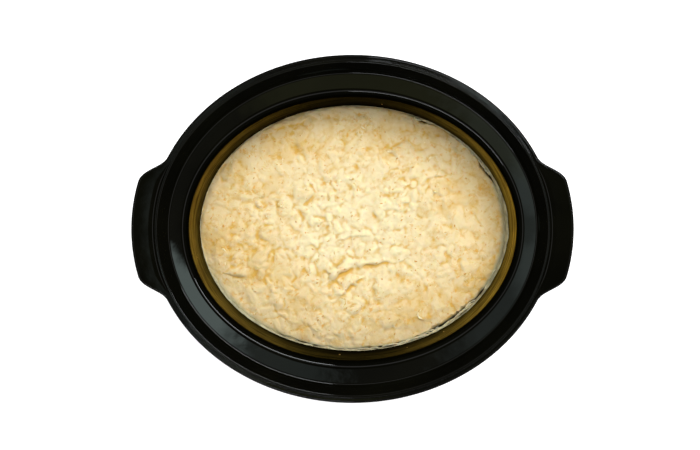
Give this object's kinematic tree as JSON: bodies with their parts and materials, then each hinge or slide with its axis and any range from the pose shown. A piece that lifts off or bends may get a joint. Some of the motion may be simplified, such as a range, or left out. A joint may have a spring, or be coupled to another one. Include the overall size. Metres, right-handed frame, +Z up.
{
  "type": "bowl of porridge",
  "caption": "Oval glazed stoneware pot with side lugs and a lid ledge, part filled with thick oat porridge; food in the dish it was cooked in.",
  "frame": {"origin": "centre of the foot, on the surface the pot stands on, under the middle of the whole box", "axes": "+X through the two lugs, along the oval's length; +Z up out of the pot's mouth"},
  "size_m": [0.3276, 0.2578, 0.126],
  "materials": {
    "black_glaze": "gloss",
    "oat_porridge": "satin"
  },
  "bodies": {
    "root": {"oval_pot": "black_glaze", "porridge": "oat_porridge"}
  },
  "joints": []
}
